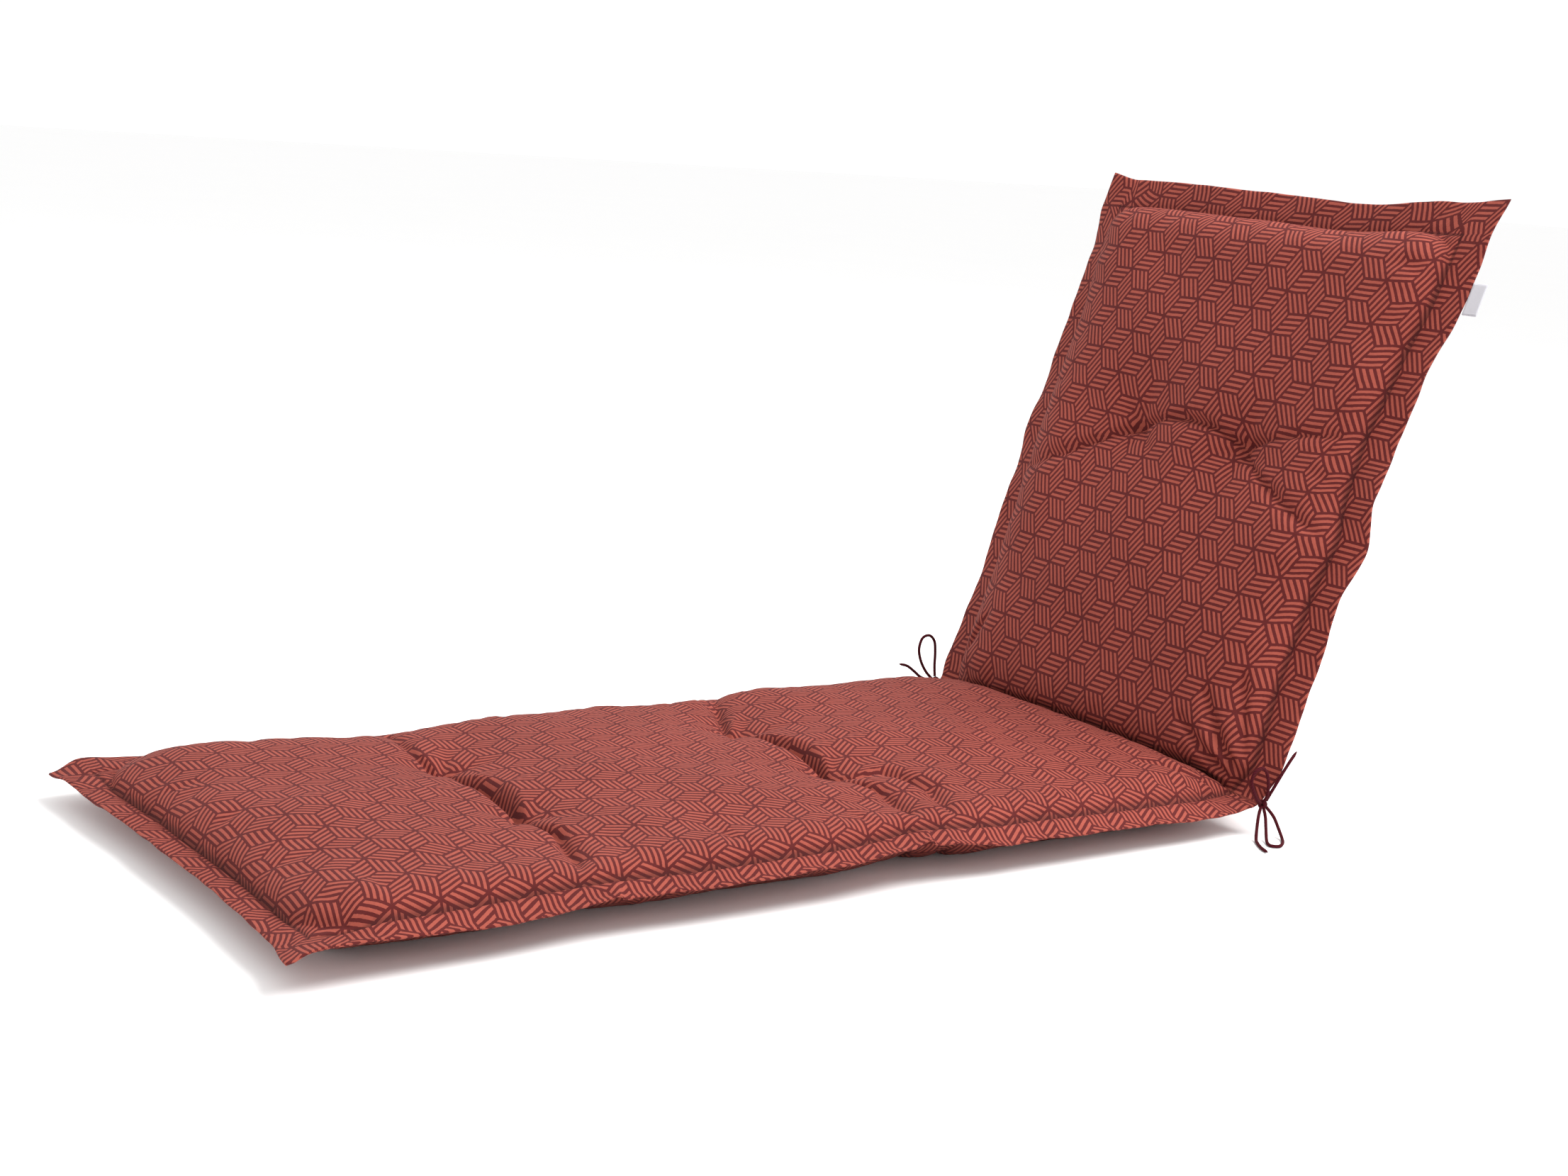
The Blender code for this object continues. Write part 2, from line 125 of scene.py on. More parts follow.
FAR_TIE = {
    "far_tie_upper_loop": (
        (-0.0062, 0.0018, 0.003), (-0.014, 0.004, 0.012), (-0.022, 0.006, 0.026), (-0.026, 0.007, 0.042),
        (-0.021, 0.008, 0.056), (-0.010, 0.008, 0.059), (-0.001, 0.008, 0.051), (0.002, 0.008, 0.036),
        (0.001, 0.006, 0.020), (-0.0005, 0.0025, 0.0065),
    ),
    "far_tie_upper_end": (
        (-0.0068, 0.0035, -0.001), (-0.018, 0.009, 0.004), (-0.028, 0.011, 0.012), (-0.040, 0.011, 0.020),
        (-0.054, 0.010, 0.024),
    ),
    "far_tie_lower_loop": (
        (0.0055, 0.0028, -0.0042), (0.012, 0.007, -0.013), (0.017, 0.014, -0.022), (0.018, 0.024, -0.0298),
        (0.014, 0.035, -0.0316), (0.006, 0.038, -0.0316), (0.000, 0.030, -0.0306), (-0.001, 0.019, -0.021),
        (-0.001, 0.010, -0.012), (-0.0005, 0.0045, -0.0068),
    ),
    "far_tie_lower_end": (
        (-0.0052, 0.0045, -0.0045), (-0.010, 0.014, -0.014), (-0.012, 0.025, -0.0262),
        (-0.014, 0.038, -0.0314), (-0.013, 0.052, -0.0316), (-0.008, 0.064, -0.0316),
    ),
}


class Wire:
    """A shader value. Working with it adds Math nodes, and node() adds any other kind."""

    def __init__(self, tree, socket=None):
        self.tree, self.socket = tree, socket

    def node(self, kind, settings=(), inputs=(), output=0):
        """A node of a kind: its settings first, then the values or links of its sockets."""
        node = self.tree.nodes.new(kind)
        for name, value in dict(settings).items():
            setattr(node, name, value)
        for name, value in dict(inputs).items():
            if isinstance(value, Wire):
                self.tree.links.new(value.socket, node.inputs[name])
            else:
                node.inputs[name].default_value = value
        return Wire(self.tree, node.outputs[output])

    def math(self, operation, *others):
        return self.node("ShaderNodeMath", {"operation": operation}, dict(enumerate((self, *others))))

    def __add__(self, other):
        return self.math("ADD", other)

    __radd__ = __add__

    def __mul__(self, other):
        return self.math("MULTIPLY", other)

    __rmul__ = __mul__

    def __sub__(self, other):
        return self.math("SUBTRACT", other)

    def __rsub__(self, other):
        return (self * -1.0) + other

    def between(self, low, high):
        """0 below low, 1 above high and smooth between them."""
        return self.node(
            "ShaderNodeMapRange",
            {"interpolation_type": "SMOOTHSTEP", "clamp": True},
            {"Value": self, "From Min": low, "From Max": high},
        )

    def noise(self, place, scale, detail=2.0):
        return self.node("ShaderNodeTexNoise", (), {"Vector": place, "Scale": scale, "Detail": detail})

    def mix(self, share, first, second):
        """A colour between two others."""
        colours = {0: share}
        for socket, colour in ((6, first), (7, second)):
            colours[socket] = colour if isinstance(colour, Wire) else (*colour, 1.0)
        return self.node("ShaderNodeMix", {"data_type": "RGBA"}, colours, 2)


def new_material(name, **constants):
    """A Principled material with its constant sockets set, as its node tree's Wire and its shader."""
    material = bpy.data.materials.new(name)
    material.use_nodes = True
    shader = material.node_tree.nodes["Principled BSDF"]
    for socket, value in constants.items():
        shader.inputs[socket.replace("_", " ")].default_value = value
    return material, Wire(material.node_tree), shader


def dress(wires, shader, colour, height, bump_distance, roughness=None):
    """Links a colour, a height in units of bump_distance and a roughness to a shader."""
    wires.tree.links.new(colour.socket, shader.inputs["Base Color"])
    bump = wires.node("ShaderNodeBump", (), {"Strength": 1.0, "Distance": bump_distance, "Height": height})
    wires.tree.links.new(bump.socket, shader.inputs["Normal"])
    if roughness is not None:
        wires.tree.links.new(roughness.socket, shader.inputs["Roughness"])


def link_mesh(name, points, faces, material):
    data = bpy.data.meshes.new(name)
    data.from_pydata([tuple(point) for point in points], [], faces)
    data.materials.append(material)
    data.shade_smooth()
    piece = bpy.data.objects.new(name, data)
    bpy.context.scene.collection.objects.link(piece)
    return piece


def smooth_route(points):
    """Points at even steps on a smooth curve through a cord's own points, none of them under the floor."""
    points = [Vector(p) for p in points]
    ends = [points[0] * 2 - points[1], *points, points[-1] * 2 - points[-2]]
    route = []
    for before, a, b, after in zip(ends, ends[1:], ends[2:], ends[3:]):
        steps = max(2, round((b - a).length / CORD_STEP))
        for step in range(steps):
            t = step / steps
            route.append(
                0.5 * (2 * a + (b - before) * t + (2 * before - 5 * a + 4 * b - after) * t**2
                       + (3 * a - before - 3 * b + after) * t**3)
            )
    route.append(points[-1])
    for place in route:
        place.z = max(place.z, CORD_DIAMETER / 2 + FLOOR_CLEARANCE)
    return route


def twisted_tube(route, radius, closed_ends=(True, True)):
    """Points, faces and UVs of a cord along a route, with a faint twist and its free ends tapered."""
    route = [Vector(p) for p in route]
    points, uvs, length = [], [], 0.0
    side = None
    for index, centre in enumerate(route):
        ahead = (route[min(index + 1, len(route) - 1)] - route[max(index - 1, 0)]).normalized()
        if side is None:
            side = ahead.orthogonal().normalized()
        side = (side - ahead * side.dot(ahead)).normalized()
        other = ahead.cross(side)
        if index:
            length += (centre - route[index - 1]).length
        from_start = index if closed_ends[0] else len(route)
        from_end = min(from_start, len(route) - 1 - index if closed_ends[1] else len(route))
        size = radius * (*TIP_SIZES, 1.0)[min(from_end, len(TIP_SIZES))]
        for turn in range(CORD_SIDES):
            angle = 2 * math.pi * turn / CORD_SIDES
            ply = abs(math.cos(CORD_PLIES / 2 * (angle - CORD_TWIST * length)))
            reach = size * (1 - PLY_DEPTH * (1 - ply) ** 1.5)
            points.append(centre + (side * math.cos(angle) + other * math.sin(angle)) * reach)
            uvs.append((length, angle / (2 * math.pi)))
    faces, face_uvs = [], []
    for ring in range(len(route) - 1):
        for turn in range(CORD_SIDES):
            following = (turn + 1) % CORD_SIDES
            low, high = ring * CORD_SIDES, (ring + 1) * CORD_SIDES
            faces.append((low + turn, low + following, high + following, high + turn))
            seam = 1.0 if following == 0 else uvs[following][1]
            a, b = uvs[low][0], uvs[high][0]
            face_uvs.append(((a, uvs[turn][1]), (a, seam), (b, seam), (b, uvs[turn][1])))
    faces.append(tuple(reversed(range(CORD_SIDES))))
    faces.append(tuple(range((len(route) - 1) * CORD_SIDES, len(route) * CORD_SIDES)))
    face_uvs += [[(0.0, 0.0)] * CORD_SIDES, [(length, 0.0)] * CORD_SIDES]
    return points, faces, face_uvs


def set_uvs(piece, name, face_uvs):
    layer = piece.data.uv_layers.new(name=name)
    layer.data.foreach_set("uv", [value for face in face_uvs for uv in face for value in uv])


def on_knot(step):
    """A step from a knot's middle, cut or drawn out to end just off the knot's surface."""
    reach = 1 / math.sqrt(sum((part / (KNOT_RADIUS * share)) ** 2 for part, share in zip(step, KNOT_SHAPE)))
    return Vector(step) * reach + Vector(step).normalized() * GAP


def knot_winding(turns, lean, tilt, spin):
    """A run of cord wound round a knot's middle, leaning sideways as it goes and tilted as a whole."""
    wound = []
    hug = KNOT_RADIUS - CORD_DIAMETER / 2
    steps = round(turns * WINDING_STEPS)
    turned = Matrix.Rotation(tilt, 3, "Y") @ Matrix.Rotation(spin, 3, "Z")
    for step in range(steps + 1):
        share = step / steps
        angle = 2 * math.pi * turns * share
        sideways = lean * (share - 0.5)
        level = math.sqrt(max(1 - (sideways / hug) ** 2, 0.05))
        place = turned @ Vector((sideways, hug * level * math.cos(angle), hug * level * math.sin(angle)))
        wound.append(Vector(part * share for part, share in zip(place, KNOT_SHAPE)))
    return wound


cord_material, cord_wires, cord_shader = new_material(
    "tie_cord_twisted", Roughness=0.85, Specular_IOR_Level=0.10,
)
cord_place = cord_wires.node("ShaderNodeUVMap", {"uv_map": "cord"})
cord_across = cord_wires.node("ShaderNodeSeparateXYZ", (), {0: cord_place})
cord_around = cord_wires.node("ShaderNodeSeparateXYZ", (), {0: cord_place}, 1)
ply_wave = (cord_around * CORD_PLIES - cord_across * (CORD_TWIST * CORD_PLIES / (2 * math.pi))).math("FRACT")
fibre = ((ply_wave * 9.0 + cord_across * 900.0) * 2 * math.pi).math("SINE")
cord_noise = cord_wires.noise(cord_wires.node("ShaderNodeTexCoord", (), (), 3), 900.0)
# ply_crown is 1 on the middle of each ply and 0 in the grooves between plies. In the colour the grooves are
# painted darker as shade and the crowns lighter as light, with random tone from the noise on top. In the bump
# it is the plies' height.
ply_crown = (ply_wave - 0.5).math("ABSOLUTE").between(0.5, 0.30)
cord_colour = cord_wires.mix(ply_crown * 0.7 + cord_noise * 0.3, CORD_DARK_AND_GROOVE_SHADE, CORD_LIGHT_AND_LIT_CROWN)
dress(cord_wires, cord_shader, cord_colour, ply_crown * 0.6 + fibre * 0.15 + cord_noise * 0.4, 0.0004)


def make_tie(prefix, routes):
    """One bow: its knot, loops and ends, each standing for its own solid."""
    low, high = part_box(prefix + "_knot")
    centre = (Vector(low) + Vector(high)) / 2
    points, faces, uvs = [], [], []
    for winding in WINDINGS:
        tube_points, tube_faces, tube_uvs = twisted_tube(knot_winding(*winding), CORD_DIAMETER / 2)
        faces += [tuple(index + len(points) for index in face) for face in tube_faces]
        points += [centre + point for point in tube_points]
        uvs += tube_uvs
    knot = link_mesh(prefix + "_wound_knot", points, faces, cord_material)
    set_uvs(knot, "cord", uvs)
    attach(knot, "root")
    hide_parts(prefix + "_knot")
    for name, steps in routes.items():
        is_loop = name.endswith("loop")
        last = on_knot(steps[-1]) if is_loop else Vector(steps[-1])
        route = [on_knot(steps[0]), *(Vector(step) for step in steps[1:-1]), last]
        route = smooth_route([centre + step for step in route])
        length = sum((b - a).length for a, b in zip(route, route[1:]))
        points, faces, uvs = twisted_tube(route, CORD_DIAMETER / 2, (False, not is_loop))
        piece = link_mesh(name + "_cord", points, faces, cord_material)
        set_uvs(piece, "cord", uvs)
        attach(piece, "root")
        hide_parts(name)


make_tie("near_tie", NEAR_TIE)
make_tie("far_tie", FAR_TIE)

# Cushion: one cover of printed cotton, front and rear panels sewn together round a loose fibre filling. The
# cloth runs on past the seam as a flat border, six tufts are sewn right through, and a stitched fold makes
# the hinge. s is the distance along the flat cloth from the foot edge, and y the distance across it.
BACK_LENGTH = 0.714
CLOTH_LENGTH = SEAT_LENGTH + BACK_LENGTH
BACK_ANGLE = math.radians(68.4)
HINGE_RADIUS = 0.020
HINGE_ARC = HINGE_RADIUS * BACK_ANGLE
HINGE_SETBACK = HINGE_RADIUS * math.tan(BACK_ANGLE / 2) - HINGE_ARC / 2
FOLD_SLOPE = math.tan((math.pi - BACK_ANGLE) / 2)
BORDER_WIDTH = 0.040
BORDER_THICKNESS = 0.0032
FRONT_RISE = 0.040
REAR_RISE = 0.034
SIDE_REACH, FOOT_REACH, HEAD_REACH = 0.075, 0.090, 0.060
SEAT_HINGE_REACH, BACK_HINGE_REACH, REAR_HINGE_REACH = 0.100, 0.055, 0.120
EDGE_POWER = 2.4
CORNER_POWER = 3.0
NEAR_ROUNDING = 0.045
NEAR_FULLER = 0.06
ROUNDING_STARTS, ROUNDING_ENDS = (0.05, 0.20), (0.85, 1.05)
CROWN_FALL = 0.14
HINGE_RISE = 0.006
HINGE_CLEARANCE = 0.0016
END_FADE = 0.16
EDGES = (
    # s, near y, far y, near lift, far lift
    (0.000, -0.303, 0.297, 0.003, -0.003),
    (0.040, -0.298, 0.296, 0.009, 0.010),
    (0.110, -0.294, 0.294, 0.006, 0.006),
    (0.200, -0.293, 0.292, 0.003, 0.004),
    (0.325, -0.286, 0.285, 0.006, 0.003),
    (0.450, -0.292, 0.291, 0.007, 0.006),
    (0.560, -0.293, 0.292, 0.008, 0.004),
    (0.680, -0.286, 0.285, 0.013, 0.007),
    (0.790, -0.293, 0.291, 0.003, 0.005),
    (0.920, -0.294, 0.293, 0.002, 0.002),
    (1.060, -0.294, 0.290, -0.003, 0.001),
    (1.138, -0.287, 0.280, 0.000, 0.000),
    (1.180, -0.300, 0.286, 0.002, -0.002),
    (1.290, -0.291, 0.289, -0.004, -0.006),
    (1.375, -0.290, 0.295, 0.003, -0.003),
    (1.435, -0.296, 0.303, -0.003, -0.008),
    (1.500, -0.284, 0.309, 0.002, -0.004),
    (1.560, -0.281, 0.311, -0.004, -0.009),
    (1.640, -0.288, 0.312, 0.002, -0.005),
    (1.740, -0.300, 0.322, -0.002, -0.010),
    (1.810, -0.302, 0.330, 0.002, -0.006),
    (1.852, -0.311, 0.318, 0.004, 0.006),
)
SEAM_LIFT = (
    # s, near seam lift, far seam lift
    (0.000, 0.000, 0.001), (0.060, 0.005, 0.005), (0.110, 0.011, 0.005), (0.260, 0.013, 0.004),
    (0.420, 0.012, 0.004), (0.600, 0.013, 0.005), (0.680, 0.017, 0.006), (0.800, 0.013, 0.005),
    (1.000, 0.009, 0.002), (1.120, 0.002, 0.000), (1.180, 0.000, 0.000), (1.852, 0.000, 0.000),
)
LIFT_REACH = 0.065
FOOT_TUCK = 0.010
NEAR_TUCK = 0.013
TUCK_REACH = 0.09
TUCK_STARTS, TUCK_ENDS = (0.0, 0.10), (1.0, 1.13)
FOOT_DRAW = ((-0.305, 0.000), (-0.24, 0.011), (-0.10, 0.014), (0.07, 0.009), (0.21, 0.000), (0.305, -0.006))
HEAD_DRAW = (
    (-0.312, 0.004), (-0.24, -0.003), (-0.10, -0.015), (0.03, -0.011), (0.20, -0.008), (0.28, -0.009),
    (0.33, -0.003),
)
TUFT_ROWS = (
    # s, near y, far y, row dip, tuft depth, bow
    (0.330, -0.090, 0.086, 0.16, 0.022, 0.010),
    (0.704, -0.078, 0.096, 0.14, 0.024, 0.012),
    (1.520, -0.087, 0.087, 0.12, 0.026, 0.020),
)
TUFT_RADIUS = 0.034
ROW_REACH = 0.075
REAR_TUFT_SHARE = 0.55
CREASES = (
    # points on the cloth, then depth and half width
    ((0.325, 0.086), (0.322, 0.130), (0.333, 0.215), 0.010, 0.014),
    ((0.322, -0.090), (0.333, -0.155), (0.316, -0.210), (0.296, -0.250), 0.011, 0.013),
    ((0.690, 0.096), (0.728, 0.175), (0.762, 0.240), 0.014, 0.015),
    ((0.690, -0.078), (0.708, -0.160), (0.692, -0.225), 0.010, 0.013),
    ((0.700, -0.078), (0.750, -0.110), (0.756, -0.181), (0.730, -0.245), 0.012, 0.013),
    ((1.512, -0.087), (1.488, -0.135), (1.450, -0.215), (1.440, -0.245), 0.009, 0.012),
    ((1.525, -0.087), (1.550, -0.185), (1.556, -0.245), 0.006, 0.013),
    ((1.523, 0.087), (1.498, 0.124), (1.465, 0.184), (1.441, 0.245), 0.009, 0.013),
    # where each tie gathers the end of the hinge
    ((1.150, -0.262), (1.185, -0.225), (1.232, -0.186), 0.009, 0.008),
    ((1.152, -0.268), (1.200, -0.246), (1.262, -0.222), 0.008, 0.008),
    ((1.150, -0.250), (1.172, -0.208), (1.196, -0.165), 0.006, 0.007),
    ((1.126, -0.262), (1.090, -0.226), (1.046, -0.192), 0.007, 0.009),
    ((1.124, -0.270), (1.076, -0.250), (1.020, -0.238), 0.006, 0.008),
    ((1.152, 0.258), (1.190, 0.230), (1.236, 0.206), 0.007, 0.008),
    ((1.126, 0.258), (1.088, 0.228), (1.050, 0.206), 0.005, 0.008),
)
ROW_CREASE_DEPTH = (0.020, 0.009)
ROW_CREASE_WIDTH = (0.018, 0.011)
FOLD_LINE_DEPTH = 0.0085
FOLD_LINE_WIDTH = 0.0045
# how far a row's crease runs past its tufts and over how much it fades, both as shares of the row
ROW_CREASE_ENDS, FOLD_LINE_ENDS = (0.10, 0.15), (0.02, 0.10)
# what a crease loses towards its end
CREASE_FADE, FOLD_LINE_FADE = 0.55, 0.7
# the pit at a tuft: its depth as a share of a fold line's, and its radius
TUFT_PIT = (1.2, 0.0055)
# the share of the tufts that the smooth cloth under the print keeps
TUFTS_LEFT = 0.4

# The mesh of both faces: cells between the lines of the cloth, closer together at seams, rows and hinge
BORDER_STATIONS = (0.0, 0.0008, 0.0026, 0.010, 0.019, 0.028, 0.0355, 0.040)
BAY_CELLS = (62, 74, 84, 8, 78, 60)
PAD_CELLS = 112
EASE = 0.55

# Small gathers: along each seam, round the tufts, and in the border
GATHER_PITCH = (0.015, 0.034)
GATHER_WIDTH = (0.0032, 0.0062)
GATHER_REACH = (0.018, 0.055)
GATHER_DEPTH = (0.0010, 0.0032)
GATHER_SLANT = 0.5
GATHER_START, GATHER_LIMIT, GATHER_FALL = 0.007, 0.16, 1.6
# how strong the front's gathers are: near and far side, foot and head, hinge
SIDE_GATHERS, END_GATHERS, HINGE_GATHERS = (1.5, 1.1), (1.3, 1.0), 0.9
SIDE_SEAM, END_SEAM, HINGE_SEAM = (0.05, 1.80), (-0.25, 0.27), (-0.25, 0.25)
NEAR_FOOT, NEAR_HEAD = 0.3, 1.6
RAY_COUNT = 6
RAY_DEPTH = (0.0022, 0.0052)
RAY_REACH = (0.030, 0.070)
RAY_WIDTH, RAY_FLARE = 0.0045, 0.09
RAY_START = 0.012
RAY_TURN = 0.3
REAR_LINES, REAR_RAYS = 0.8, 0.9
CALM_REACH = 0.03
PLEATS = ((0.334, 0.0042, 0.010), (0.688, 0.0060, 0.012))
PLEAT_LEAN = 0.25
PLEAT_STEEPER = 0.35
RIPPLE_COUNT = 5
RIPPLE_PITCH = (0.035, 0.11)
# how much each ripple runs along and across the cloth, and its height
RIPPLES = ((1.0, 0.7, 0.00033), (0.4, -1.0, 0.00021))
LOOSE_SWELL = 0.0016
SWELL_WAVES = 14
SWELL_PITCH = (0.07, 0.21)
# depth and half width of the dip along the seam
SEAM_GROOVE = (0.0013, 0.0024)

# Where the print's repeats lie: its scale on the seat, the cloth that the hinge's fold takes up, and the
# cloth that the back's row of tufts takes up, as its place, reach and amount
SEAT_CLOSER = 1.145
HINGE_TAKES = 0.021
BACK_ROW_TAKES = (0.33, 0.10, 0.010)


def smooth_step(x):
    x = np.clip(x, 0.0, 1.0)
    return x * x * (3 - 2 * x)


def ramp(x, start, end):
    """0 up to start and 1 from end on, with a smooth run between."""
    return smooth_step((x - start) / (end - start))


def along_table(rows, x, column):
    """A column of a table, read at x with a smooth run between its rows."""
    places = np.array([row[0] for row in rows])
    values = np.array([row[column] for row in rows])
    x = np.asarray(x, float)
    high = np.clip(np.searchsorted(places, x), 1, len(rows) - 1)
    share = smooth_step((x - places[high - 1]) / (places[high] - places[high - 1]))
    return values[high - 1] + (values[high] - values[high - 1]) * share


def stand_up(*edges):
    """How far the filling has risen, 0 to 1, at distances in from its seams, each with its reach."""
    closeness = 0.0
    for distance, reach in edges:
        closeness = closeness + np.clip(1 - np.maximum(distance, 0.0) / reach, 0.0, None) ** CORNER_POWER
    return np.sqrt(np.clip(1 - closeness ** (EDGE_POWER / CORNER_POWER), 0.0, None))


def trough(distance, half_width):
    return np.exp(-((distance / half_width) ** 2))


def distance_to_run(s, y, run):
    """Distance from points of the cloth to a run of points, and how far along the run they are, 0 to 1."""
    best, place = np.full(s.shape, 1e9), np.zeros(s.shape)
    for index, (a, b) in enumerate(zip(run, run[1:])):
        leg = np.subtract(b, a)
        share = np.clip(((s - a[0]) * leg[0] + (y - a[1]) * leg[1]) / leg.dot(leg), 0, 1)
        distance = np.hypot(s - a[0] - leg[0] * share, y - a[1] - leg[1] * share)
        closer = distance < best
        best = np.where(closer, distance, best)
        place = np.where(closer, (index + share) / (len(run) - 1), place)
    return best, place


def seam_y(s, side):
    """The seam between border and filling: side -1 is near, 1 is far."""
    return along_table(EDGES, s, 1 if side < 0 else 2) - side * BORDER_WIDTH


def row_crease(s, y, row, ends):
    """Distance from the crease between a row's two tufts, and how much of the crease there is, 0 to 1."""
    row_s, near, far, _, _, bow = row
    past, fade = ends
    across = (y - near) / (far - near)
    crease_s = row_s + bow * 4 * across * (1 - across)
    return s - crease_s, smooth_step((across + past) / fade) * smooth_step((1 + past - across) / fade)


def tuft_pull(s, y):
    """How far the tufts, the creases between them and the creases to the sides pull the front cloth in."""
    pull = np.zeros(s.shape)
    for row in TUFT_ROWS:
        row_s, near, far, _, depth, _ = row
        for tuft in (near, far):
            pull = np.maximum(pull, depth * np.exp(-np.hypot(s - row_s, y - tuft) / TUFT_RADIUS))
        off, inside = row_crease(s, y, row, ROW_CREASE_ENDS)
        width = np.where(off < 0, *ROW_CREASE_WIDTH)
        crease_depth = ROW_CREASE_DEPTH[0 if row_s < SEAT_LENGTH else 1]
        pull = np.maximum(pull, inside * crease_depth * trough(off, width))
    for *run, depth, half_width in CREASES:
        distance, place = distance_to_run(s, y, run)
        pull = np.maximum(pull, depth * (1 - CREASE_FADE * place) * trough(distance, half_width))
    return pull


def bay_height(s):
    """The share of the full rise that the rows of tufts leave along the cloth."""
    return 1.0 - sum(row[3] * trough(s - row[0], ROW_REACH) for row in TUFT_ROWS)


def seam_distances(s, y):
    """Distances in from the side seam, from the foot or head seam, and from the stitched hinge line."""
    half = (seam_y(s, 1) - seam_y(s, -1)) / 2
    middle = (seam_y(s, 1) + seam_y(s, -1)) / 2
    on_seat = s < SEAT_LENGTH
    end = np.where(on_seat, s - BORDER_WIDTH, CLOTH_LENGTH - BORDER_WIDTH - s)
    return half - np.abs(y - middle), end, np.abs(SEAT_LENGTH - s), np.abs(y - middle) / half, on_seat


def border_lift(s, y):
    """How far the middle of the cloth lies off the flat along its sides, at the edge and at the seam."""
    near_in = np.clip((along_table(EDGES, s, 1) + BORDER_WIDTH - y) / BORDER_WIDTH, 0, None)
    far_in = np.clip((y - along_table(EDGES, s, 2) + BORDER_WIDTH) / BORDER_WIDTH, 0, None)
    lift = along_table(EDGES, s, 3) * near_in + along_table(EDGES, s, 4) * far_in
    for side, column in ((-1, 1), (1, 2)):
        inward = -side * (y - seam_y(s, side))
        climb = smooth_step(1 + inward / BORDER_WIDTH)
        fall = 1 - smooth_step(inward / LIFT_REACH)
        lift = lift + along_table(SEAM_LIFT, s, column) * np.where(inward < 0, climb, fall)
    return lift


def drawn_in(s, y):
    """s moved by the draw of the foot and head edges."""
    foot = along_table(FOOT_DRAW, y, 1) * (1 - smooth_step(s / END_FADE))
    head = along_table(HEAD_DRAW, y, 1) * (1 - smooth_step((CLOTH_LENGTH - s) / END_FADE))
    tuck = FOOT_TUCK * smooth_step(s / BORDER_WIDTH) * (1 - smooth_step((s - BORDER_WIDTH) / END_FADE))
    return s + foot + head - tuck


def let_out(s, y):
    """y moved where the near border of the seat is narrower than the rest."""
    from_edge = y - along_table(EDGES, s, 1)
    out = smooth_step(from_edge / BORDER_WIDTH) * (1 - smooth_step((from_edge - BORDER_WIDTH) / TUCK_REACH))
    return y - NEAR_TUCK * out * ramp(s, *TUCK_STARTS) * (1 - ramp(s, *TUCK_ENDS))


def bent(s, y, height):
    """Points of the flat cloth, at heights off it, carried through the bend of the hinge."""
    start = SEAT_LENGTH - HINGE_ARC / 2
    turn = np.clip((s - start) / HINGE_RADIUS, 0.0, BACK_ANGLE)
    flat = np.minimum(s, start)
    past = np.clip(s - start - HINGE_ARC, 0.0, None)
    x = FOOT_X + flat + (HINGE_RADIUS - height) * np.sin(turn) + past * np.cos(turn)
    z = BORDER_HEIGHT + HINGE_RADIUS - (HINGE_RADIUS - height) * np.cos(turn) + past * np.sin(turn)
    return np.stack((x, CENTRE_Y + y, z), axis=-1)


def between(chance, limits):
    return limits[0] + (limits[1] - limits[0]) * chance.random()


def seam_gathers(chance, start, end, strength=1.0):
    """Where the cloth is gathered along a seam: place, slant, width, reach and depth of each gather."""
    gathers, place = [], start
    while place < end:
        gathers.append((
            place, chance.uniform(-GATHER_SLANT, GATHER_SLANT), between(chance, GATHER_WIDTH),
            between(chance, GATHER_REACH), between(chance, GATHER_DEPTH) * strength,
        ))
        place += between(chance, GATHER_PITCH)
    return gathers


def gather_relief(along, inward, gathers):
    """How deep the gathers of a seam are at a distance in from it."""
    relief = np.zeros(along.shape)
    reached = (inward > 0) & (inward < GATHER_LIMIT)
    a, i = along[reached], inward[reached]
    sunk = np.zeros(a.shape)
    for place, slant, width, reach, depth in gathers:
        off = a - place - slant * i
        sunk += depth * trough(off, width * (1 + i / reach)) * np.exp(-((i / reach) ** GATHER_FALL))
    relief[reached] = sunk * smooth_step(i / GATHER_START)
    return relief


def tuft_rays(chance, s, y, strength):
    """Short folds that run out from each tuft."""
    relief = np.zeros(s.shape)
    for row_s, near, far, *_ in TUFT_ROWS:
        for tuft in (near, far):
            first = chance.random() * math.tau
            for ray in range(RAY_COUNT):
                angle = first + (ray + chance.uniform(-RAY_TURN, RAY_TURN)) * math.tau / RAY_COUNT
                depth, reach = between(chance, RAY_DEPTH), between(chance, RAY_REACH)
                out = (s - row_s) * math.cos(angle) + (y - tuft) * math.sin(angle)
                off = (y - tuft) * math.cos(angle) - (s - row_s) * math.sin(angle)
                ray_width = RAY_WIDTH + RAY_FLARE * np.clip(out, 0, None)
                fading = np.exp(-np.clip(out / reach, 0, None) ** 2)
                shape = trough(off, ray_width) * smooth_step(out / RAY_START) * fading
                relief = np.maximum(relief, depth * strength * shape)
    return relief


def loose_swell(chance, s, y):
    """Slow unevenness of the filling."""
    swell = np.zeros(s.shape)
    for _ in range(SWELL_WAVES):
        angle, pitch = chance.uniform(0, math.pi), chance.uniform(*SWELL_PITCH)
        wave = (s * math.cos(angle) + y * math.sin(angle)) * math.tau / pitch + chance.uniform(0, math.tau)
        swell += np.sin(wave) * pitch / (sum(SWELL_PITCH) / 2)
    return swell / 4.2 * LOOSE_SWELL


def fold_lines(s, y):
    """The sharp bottoms of the creases between and beside the tufts."""
    lines = np.zeros(s.shape)
    for row in TUFT_ROWS:
        off, inside = row_crease(s, y, row, FOLD_LINE_ENDS)
        lines = np.maximum(lines, inside * trough(off, FOLD_LINE_WIDTH))
        for tuft in row[1:3]:
            lines = np.maximum(lines, TUFT_PIT[0] * trough(np.hypot(s - row[0], y - tuft), TUFT_PIT[1]))
    for *run, _, _ in CREASES:
        distance, place = distance_to_run(s, y, run)
        lines = np.maximum(lines, (1 - FOLD_LINE_FADE * place) * trough(distance, FOLD_LINE_WIDTH))
    return lines * FOLD_LINE_DEPTH


